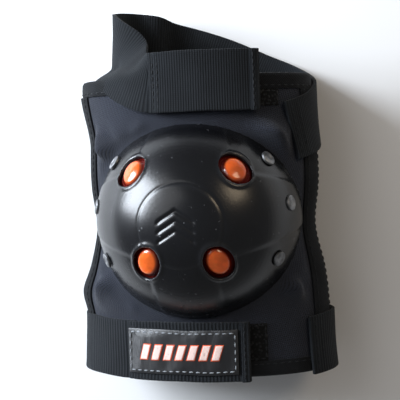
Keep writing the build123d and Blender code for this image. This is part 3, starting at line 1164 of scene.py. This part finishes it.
class PAD_OT_straps(PieceOperator, bpy.types.Operator):
    """Build the two elastic straps from their sewn ends to their tabs"""

    bl_idname = "pad.straps"
    bl_label = "Elastic Straps"

    def execute(self, context):
        for name, band in strap_bands().items():
            run = band.length
            turn = [band.share(angle) for angle in (272, 301, 308, 331)]
            far = [band.share(angle) for angle in (200, 245, 290, 322)]

            def dip(along, across):
                """How far the upper strap's free edge falls inwards beside its tab."""
                if name == "lower":
                    return 0.0
                here = ease(turn[0], turn[1], along) * (1 - ease(turn[2], turn[3], along))
                return here * max(0.0, (across - 0.36) / 0.64) ** 1.1

            def lift(along, across):
                lapped = ease(1 - 5 * MM / run, 1 - 2.5 * MM / run, along)
                curl = 0.25 * (2 * across - 1) ** 2
                ripple = 0.35 * noise.noise(Vector((along * run / (22 * MM), across * 1.5, 1.0)))
                loose = (curl + ripple) * (1 - lapped) - 0.55 * lapped
                if name == "lower":
                    return loose * MM
                drawn = 12 * ease(far[0], far[1], along) * (1 - ease(far[2], far[3], along))
                beyond = ease(UPPER_END - 1 * MM, UPPER_END + 8 * MM, band.place(along, across).y)
                return (loose - (drawn + 9 * dip(along, across)) * beyond) * MM

            def slide(along, across):
                return -0.22 * dip(along, across)

            cells = (1.5 * MM, 1.8 * MM)
            strap = band_piece(name + "_strap", band, STRAP_THICKNESS, *cells, lift, slide=slide)
            dress(strap, elastic, name + "_strap_elastic", *WEAVES[name])
            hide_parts(name + "_strap_back", name + "_strap_front")
            hinge = Vector(JOINTS[name + "_strap_swing"]["pos_m"])
            name + "_strap"
            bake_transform(strap)
            rows = [on_band(band, (start * MM / run,) * 2, (0.06, 0.94)) for start in (3, 7)]
            sewing = dress(stitches(name + "_strap_base_stitches", rows), thread)
            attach(sewing, "pad")
        return {"FINISHED"}


def front_band(low_x, high_x, y, out, width):
    """A strip across the front of the sleeve between two places in x."""
    places = [low_x + (high_x - low_x) * step / 4 for step in range(5)]
    return Band([(angle_at(x, y, out), y) for x in places], out, width)


class PAD_OT_tabs(PieceOperator, bpy.types.Operator):
    """Build the hook tabs with their turned-over ends, hooks and seams"""

    bl_idname = "pad.tabs"
    bl_label = "Hook Tabs"

    def execute(self, context):
        for name, y in (("upper", UPPER_Y), ("lower", LOWER_Y)):
            body = name + "_hook_tab"
            low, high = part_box(name + "_tab")
            band = front_band(low.x, high.x, y, TAB_OUT, STRAP_WIDTH)
            run = band.length

            def lift(along, across):
                curl = 0.35 * (2 * across - 1) ** 4
                root = -0.5 * (1 - ease(0, 2.5 * MM / run, along))
                seam = -0.45 * bell(along * run, 2.6 * MM, 0.7 * MM)
                ripple = 0.3 * noise.noise(Vector((along * run / (15 * MM), across * 1.3, 5.0)))
                return (curl + root + seam + ripple) * MM

            tab = band_piece(name + "_tab_web", band, TAB_THICKNESS, 0.9 * MM, 1.3 * MM, lift, 0.45 * MM)
            dress(tab, elastic, name + "_strap_elastic", *WEAVES[name])
            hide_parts(name + "_tab")
            pull_low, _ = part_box(name + "_tab_pull")
            fold_end, fold_out = high.x + 0.5 * MM, TAB_OUT + 1.0 * MM
            fold = front_band(pull_low.x, fold_end, y, fold_out, STRAP_WIDTH + 0.6 * MM)

            def roll(along, across):
                return (-1.1 * ease(0.72, 1.0, along) - 0.5 * (1 - ease(0, 0.2, along))) * MM

            pull = band_piece(name + "_pull", fold, 1.0 * MM, 0.5 * MM, 1.3 * MM, roll, 0.25 * MM)
            dress(pull, elastic, name + "_strap_elastic", *WEAVES[name])
            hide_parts(name + "_tab_pull")
            hook_low, hook_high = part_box(name + "_tab_hooks")
            hook_band = front_band(hook_low.x, hook_high.x, y, HOOK_OUT, hook_high.y - hook_low.y)
            hooks = band_piece(name + "_hooks", hook_band, HOOK_THICKNESS, 1.2 * MM, 1.2 * MM)
            dress(hooks, pile, "hook_tape", True)
            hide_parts(name + "_tab_hooks")
            rows = [on_band(band, (2.6 * MM / run,) * 2, (0.04, 0.96), -0.25 * MM),
                    on_band(band, (5.2 * MM / run,) * 2, (0.04, 0.96), 0.05 * MM),
                    on_band(fold, (0.28, 0.28), (0.04, 0.96), 0.05 * MM)]
            sewing = dress(stitches(name + "_tab_stitches", rows), thread)
            for piece in (tab, pull, hooks, sewing):
                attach(piece, body)
        return {"FINISHED"}


class PAD_OT_loops(PieceOperator, bpy.types.Operator):
    """Build the fuzzy loop patches that the tabs close on"""

    bl_idname = "pad.loops"
    bl_label = "Loop Patches"

    def execute(self, context):
        for name in ("upper", "lower"):
            low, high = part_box(name + "_loop_patch")
            y = (low.y + high.y) / 2
            band = front_band(low.x, high.x, y, LOOP_OUT, high.y - low.y)
            run = band.length

            def lift(along, across):
                edge = min(along * run, (1 - along) * run, across * band.width, (1 - across) * band.width)
                tuft = noise.noise(Vector((along * run, across * band.width, 0)) / (1.7 * MM))
                return (0.25 * tuft - 0.5 * (1 - ease(0, 1.6 * MM, edge))) * MM

            patch = band_piece(name + "_loops", band, 1.05 * MM, 0.8 * MM, 0.8 * MM, lift, 0)
            dress(patch, pile, "loop_tape", False)
            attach(patch, "pad")
            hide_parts(name + "_loop_patch")
            rows = border(band, 1.1 * MM, -0.1 * MM, closed=False)
            sewing = dress(stitches(name + "_loop_stitches", rows), thread)
            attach(sewing, "pad")
        return {"FINISHED"}


class PAD_OT_label(PieceOperator, bpy.types.Operator):
    """Build the satin label with its stitched border and leaning bars"""

    bl_idname = "pad.label"
    bl_label = "Label"

    def execute(self, context):
        low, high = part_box("label_patch")
        band = front_band(low.x, high.x, LOWER_Y, LABEL_OUT, high.y - low.y)
        run = band.length

        def lift(along, across):
            edge = min(along * run, (1 - along) * run, across * band.width, (1 - across) * band.width)
            puff = noise.noise(Vector((along * run / (8 * MM), across * 0.7, 2.0)))
            return (0.8 * puff * ease(0, 4 * MM, edge) - 0.25 * (1 - ease(0, 2 * MM, edge))) * MM

        patch = band_piece("label_patch_cloth", band, LABEL_THICKNESS, 0.8 * MM, 0.8 * MM, lift, 0.2 * MM)
        dress(patch, label_satin)
        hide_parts("label_patch")
        sewing = stitches("label_stitches", border(band, 1.6 * MM), 0.38 * MM)
        dress(sewing, thread, "label_thread", (0.26, 0.28, 0.30))
        count, pitch, tall, lean = 7, 6.0 * MM, 7.0 * MM, 2.2 * MM
        edges, faces = [], []
        for number in range(count):
            middle = run / 2 + (number - (count - 1) / 2) * pitch
            for made, wide, grow, rise in ((edges, 4.3 * MM, 0.45 * MM, 0.25 * MM),
                                           (faces, 3.4 * MM, 0.0, 0.4 * MM)):

                def place(along, across):
                    up = (across - 0.5) * (tall + 2 * grow)
                    shift = middle + (along - 0.5) * wide + up / tall * lean
                    share, height = shift / run, 0.5 + up / band.width
                    return band.place(share, height, lift(share, height) + rise)

                made.append(thicken(cloth("bar", 6, 10, place), 0.35 * MM, 0.1 * MM))
        outline = dress(joined("label_bar_edges", edges), label_print, "print_edge", (0.72, 0.10, 0.03))
        bars = joined("label_bars", faces)
        dress(bars, label_print, "print_face", tuple(context.scene.pad_colours.print))
        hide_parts("label_stripes")
        for piece in (patch, sewing, outline, bars):
            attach(piece, "lower_hook_tab")
        return {"FINISHED"}


class PAD_OT_stage(PieceOperator, bpy.types.Operator):
    """Lay the floor, and set the lights and the camera"""

    bl_idname = "pad.stage"
    bl_label = "Stage"

    def execute(self, context):
        clear_selection()
        bpy.ops.mesh.primitive_plane_add(size=6)
        floor = named("floor")
        finish = Finish("pale_floor", specular_ior_level=0.2)
        cloudy = finish.grain(finish.place(), 3, 2)
        colour = finish.mix(cloudy, (0.80, 0.80, 0.80), (0.86, 0.86, 0.86))
        floor.data.materials.append(finish.done(colour, 0.7 + cloudy * 0.1))

        world = bpy.data.worlds.new("soft_light")
        context.scene.world = world
        world.use_nodes = True
        background = world.node_tree.nodes["Background"].inputs
        background["Color"].default_value = (0.95, 0.97, 1.0, 1)
        background["Strength"].default_value = 0.18
        middle = (cad_low + cad_high) / 2
        for name, place, size, power, colour in (
            ("window", (-0.62, 0.28, 0.36), 0.42, 15.0, (0.84, 0.91, 1.0)),
            ("ceiling", (-0.70, 0.55, 1.10), 0.90, 3.6, (0.97, 0.98, 1.0)),
            ("room", (0.50, 0.34, 0.42), 0.22, 0.9, (1.0, 0.80, 0.56)),
        ):
            bpy.ops.object.light_add(type="AREA", location=place)
            lamp = named(name)
            lamp.data.shape = "SQUARE"
            lamp.data.size, lamp.data.energy, lamp.data.color = size, power, colour
            lamp.rotation_euler = (Vector(place) - middle).to_track_quat("Z", "Y").to_euler()

        tilt, lean, distance = context.scene.pad_sizes.camera_tilt, 0.065, 0.49
        target = Vector((middle.x + 1 * MM, middle.y, 0.045))
        way = Vector((math.sin(tilt), lean, math.cos(tilt))).normalized()
        bpy.ops.object.camera_add(location=target + way * distance)
        camera = named("camera")
        aside = Vector((0, 1, 0)).cross(way).normalized()
        facing = Matrix((aside, way.cross(aside), way)).transposed()
        camera.rotation_euler = (facing @ Matrix.Rotation(math.radians(-2.0), 3, "Z")).to_euler()
        camera.data.lens = 88
        camera.data.clip_start = 0.01
        context.scene.view_settings.view_transform = "Standard"
        context.scene.camera = camera
        return {"FINISHED"}


PIECES = (PAD_OT_cap, PAD_OT_inserts, PAD_OT_rivets, PAD_OT_front, PAD_OT_padding, PAD_OT_back, PAD_OT_hems,
          PAD_OT_bindings, PAD_OT_straps, PAD_OT_tabs, PAD_OT_loops, PAD_OT_label, PAD_OT_stage)


class PAD_PT_sidebar(bpy.types.Panel):
    """Lists the pad's pieces and sizes"""

    bl_label = "Elbow Pad"
    bl_idname = "PAD_PT_sidebar"
    bl_space_type = "VIEW_3D"
    bl_region_type = "UI"
    bl_category = "Elbow Pad"

    def draw(self, context):
        for group in (context.scene.pad_sizes, context.scene.pad_colours):
            for name in group.__annotations__:
                self.layout.prop(group, name)
        for operator in PIECES:
            self.layout.operator(operator.bl_idname)


CLASSES = (PadSizes, PadColours, *PIECES, PAD_PT_sidebar)


def register():
    for item in CLASSES:
        bpy.utils.register_class(item)
    bpy.types.Scene.pad_sizes = PointerProperty(type=PadSizes)
    bpy.types.Scene.pad_colours = PointerProperty(type=PadColours)


def unregister():
    del bpy.types.Scene.pad_sizes, bpy.types.Scene.pad_colours
    for item in reversed(CLASSES):
        bpy.utils.unregister_class(item)


def main():
    register()
    for operator in PIECES:
        group, name = operator.bl_idname.split(".")
        getattr(getattr(bpy.ops, group), name)()


if __name__ == "__main__":
    main()
